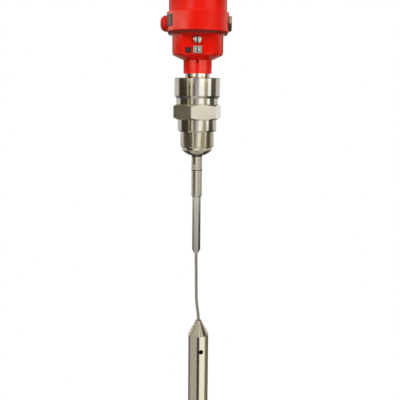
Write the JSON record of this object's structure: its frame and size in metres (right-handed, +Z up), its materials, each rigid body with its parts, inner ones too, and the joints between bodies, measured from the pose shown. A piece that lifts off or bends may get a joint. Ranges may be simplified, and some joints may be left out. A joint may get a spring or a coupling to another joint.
{
  "type": "guided wave radar level transmitter",
  "caption": "Level transmitter with a red cast housing, screw lid, steel process thread and a hanging wire rope probe with an end weight.",
  "frame": {"origin": "centre of the flat sealing shoulder above the process thread", "axes": "+Z up along the probe axis towards the lid, -Y towards the earth terminal, -X towards the capped cable entry"},
  "size_m": [0.0978, 0.086, 0.6213],
  "materials": {
    "stainless": "turned",
    "black_seal": "matte",
    "white_insulator": "matte",
    "sealing_glass": "clear",
    "seal_rubber": "matte",
    "bright_steel": "bright",
    "contact_brass": "turned",
    "rope_steel": "stranded",
    "red_coating": "gloss",
    "black_plastic": "moulded",
    "board_green": "lacquered",
    "grey_plastic": "moulded",
    "red_plastic": "gloss",
    "nickel_brass": "satin",
    "black_foil": "satin",
    "grey_foil": "satin"
  },
  "bodies": {
    "probe": {"process_fitting": "stainless", "nose_seal": "black_seal", "spacer_sleeve": "white_insulator", "glass_seal": "sealing_glass", "gland_ring": "stainless", "inner_conductor": "stainless", "neck_adapter": "stainless", "neck_oring_lower": "seal_rubber", "neck_oring_upper": "seal_rubber", "retaining_ring": "bright_steel", "signal_socket": "contact_brass", "neck_insulator": "white_insulator", "coupling_nut": "stainless", "lock_washer": "stainless", "cable_sleeve": "stainless", "swage_terminal": "stainless", "probe_rope": "rope_steel", "weight": "stainless", "set_screw": "stainless"},
    "housing": {"housing_body": "red_coating", "signal_rod": "contact_brass", "electronics_pot": "black_plastic", "circuit_board": "board_green", "module_cover": "grey_plastic", "module_screw_1": "bright_steel", "module_screw_2": "bright_steel", "terminal_block": "grey_plastic", "terminal_screw_1": "bright_steel", "terminal_screw_2": "bright_steel", "terminal_screw_3": "bright_steel", "terminal_screw_4": "bright_steel", "entry_cap": "red_plastic", "blanking_plug": "nickel_brass", "plug_seal": "seal_rubber", "earth_screw": "bright_steel", "earth_clamp": "bright_steel", "clamp_screw": "bright_steel", "symbol_plate": "black_foil", "label_plate": "grey_foil", "lock_screw": "stainless"},
    "lid_seal": {"lid_oring": "seal_rubber"},
    "lid": {"screw_lid": "red_coating"}
  },
  "joints": [
    {"name": "housing_swivel", "type": "hinge", "parent": "probe", "child": "housing", "pos_m": [0, 0, 0.095], "axis": [0, 0, 1], "range_deg": [-165, 165]},
    {"name": "lid_lift", "type": "slide", "parent": "housing", "child": "lid_seal", "axis": [0, 0, 1], "range_m": [0, 0.0105]},
    {"name": "lid_turn", "type": "hinge", "parent": "lid_seal", "child": "lid", "pos_m": [0, 0, 0.165], "axis": [0, 0, 1], "range_deg": [0, 2520]}
  ],
  "couplings": [
    {"joint": "lid_lift", "follows": "lid_turn", "m_per_rad": 0.00023873}
  ]
}
